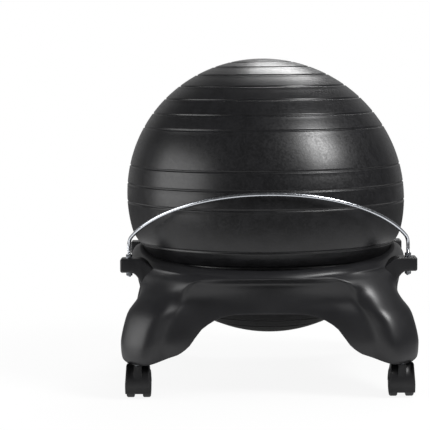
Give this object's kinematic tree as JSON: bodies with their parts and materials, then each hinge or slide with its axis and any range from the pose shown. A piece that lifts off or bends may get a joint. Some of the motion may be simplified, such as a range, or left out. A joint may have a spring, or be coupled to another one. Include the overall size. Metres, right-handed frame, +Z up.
{
  "type": "balance ball chair",
  "caption": "Inflated grooved ball seated in a hollow four-legged moulded base with swivel casters and a bent steel bar across the front of the ball.",
  "frame": {"origin": "on the floor, under the middle of the ball", "axes": "+Z up, -Y towards the front (the side with the bar), +X to the right seen from the front"},
  "size_m": [0.534, 0.5489, 0.5966],
  "materials": {
    "base_plastic": "satin black moulded plastic with a fine grain",
    "ball_vinyl": "charcoal vinyl, satin, fine mottled grain",
    "plug_plastic": "smooth dark grey",
    "zinc_steel": "bright zinc plated",
    "caster_plastic": "semi-gloss black",
    "wheel_nylon": "satin black nylon, lightly scuffed on the tread"
  },
  "bodies": {
    "base": {"base_shell": "base_plastic", "support_bar": "zinc_steel", "bar_upper_washer_left": "zinc_steel", "bar_upper_nut_left": "zinc_steel", "bar_lower_washer_left": "zinc_steel", "bar_lower_nut_left": "zinc_steel", "bar_upper_washer_right": "zinc_steel", "bar_upper_nut_right": "zinc_steel", "bar_lower_washer_right": "zinc_steel", "bar_lower_nut_right": "zinc_steel", "front_left_caster_sleeve": "caster_plastic", "front_right_caster_sleeve": "caster_plastic", "rear_left_caster_sleeve": "caster_plastic", "rear_right_caster_sleeve": "caster_plastic"},
    "ball": {"ball_skin": "ball_vinyl"},
    "plug": {"ball_plug": "plug_plastic"},
    "front_left_caster": {"front_left_caster_stem": "zinc_steel", "front_left_caster_hood": "caster_plastic", "front_left_caster_axle": "zinc_steel"},
    "front_left_left_wheel": {"front_left_wheel_left": "wheel_nylon"},
    "front_left_right_wheel": {"front_left_wheel_right": "wheel_nylon"},
    "front_right_caster": {"front_right_caster_stem": "zinc_steel", "front_right_caster_hood": "caster_plastic", "front_right_caster_axle": "zinc_steel"},
    "front_right_left_wheel": {"front_right_wheel_left": "wheel_nylon"},
    "front_right_right_wheel": {"front_right_wheel_right": "wheel_nylon"},
    "rear_left_caster": {"rear_left_caster_stem": "zinc_steel", "rear_left_caster_hood": "caster_plastic", "rear_left_caster_axle": "zinc_steel", "rear_left_brake_pin": "zinc_steel"},
    "rear_left_left_wheel": {"rear_left_wheel_left": "wheel_nylon"},
    "rear_left_right_wheel": {"rear_left_wheel_right": "wheel_nylon"},
    "rear_left_brake": {"rear_left_brake_lever": "wheel_nylon"},
    "rear_right_caster": {"rear_right_caster_stem": "zinc_steel", "rear_right_caster_hood": "caster_plastic", "rear_right_caster_axle": "zinc_steel", "rear_right_brake_pin": "zinc_steel"},
    "rear_right_left_wheel": {"rear_right_wheel_left": "wheel_nylon"},
    "rear_right_right_wheel": {"rear_right_wheel_right": "wheel_nylon"},
    "rear_right_brake": {"rear_right_brake_lever": "wheel_nylon"}
  },
  "joints": [
    {"name": "ball_lift", "type": "slide", "parent": "base", "child": "ball", "axis": [0, 0, 1], "range_m": [0, 0.3]},
    {"name": "plug_pull", "type": "slide", "parent": "ball", "child": "plug", "axis": [0, 0.9272, 0.3746], "range_m": [0, 0.03]},
    {"name": "front_left_swivel", "type": "hinge", "parent": "base", "child": "front_left_caster", "pos_m": [-0.232, -0.232, 0.059], "axis": [0, 0, 1], "continuous": true},
    {"name": "front_right_swivel", "type": "hinge", "parent": "base", "child": "front_right_caster", "pos_m": [0.232, -0.232, 0.059], "axis": [0, 0, 1], "continuous": true},
    {"name": "rear_left_swivel", "type": "hinge", "parent": "base", "child": "rear_left_caster", "pos_m": [-0.232, 0.232, 0.059], "axis": [0, 0, 1], "continuous": true},
    {"name": "rear_right_swivel", "type": "hinge", "parent": "base", "child": "rear_right_caster", "pos_m": [0.232, 0.232, 0.059], "axis": [0, 0, 1], "continuous": true},
    {"name": "front_left_left_roll", "type": "hinge", "parent": "front_left_caster", "child": "front_left_left_wheel", "pos_m": [-0.232, -0.215, 0.025], "axis": [1, 0, 0], "continuous": true},
    {"name": "front_left_right_roll", "type": "hinge", "parent": "front_left_caster", "child": "front_left_right_wheel", "pos_m": [-0.232, -0.215, 0.025], "axis": [1, 0, 0], "continuous": true},
    {"name": "front_right_left_roll", "type": "hinge", "parent": "front_right_caster", "child": "front_right_left_wheel", "pos_m": [0.232, -0.215, 0.025], "axis": [1, 0, 0], "continuous": true},
    {"name": "front_right_right_roll", "type": "hinge", "parent": "front_right_caster", "child": "front_right_right_wheel", "pos_m": [0.232, -0.215, 0.025], "axis": [1, 0, 0], "continuous": true},
    {"name": "rear_left_left_roll", "type": "hinge", "parent": "rear_left_caster", "child": "rear_left_left_wheel", "pos_m": [-0.232, 0.249, 0.025], "axis": [1, 0, 0], "continuous": true},
    {"name": "rear_left_right_roll", "type": "hinge", "parent": "rear_left_caster", "child": "rear_left_right_wheel", "pos_m": [-0.232, 0.249, 0.025], "axis": [1, 0, 0], "continuous": true},
    {"name": "rear_right_left_roll", "type": "hinge", "parent": "rear_right_caster", "child": "rear_right_left_wheel", "pos_m": [0.232, 0.249, 0.025], "axis": [1, 0, 0], "continuous": true},
    {"name": "rear_right_right_roll", "type": "hinge", "parent": "rear_right_caster", "child": "rear_right_right_wheel", "pos_m": [0.232, 0.249, 0.025], "axis": [1, 0, 0], "continuous": true},
    {"name": "rear_left_brake_press", "type": "hinge", "parent": "rear_left_caster", "child": "rear_left_brake", "pos_m": [-0.232, 0.263, 0.043], "axis": [-1, 0, 0], "range_deg": [0, 15]},
    {"name": "rear_right_brake_press", "type": "hinge", "parent": "rear_right_caster", "child": "rear_right_brake", "pos_m": [0.232, 0.263, 0.043], "axis": [-1, 0, 0], "range_deg": [0, 15]}
  ]
}
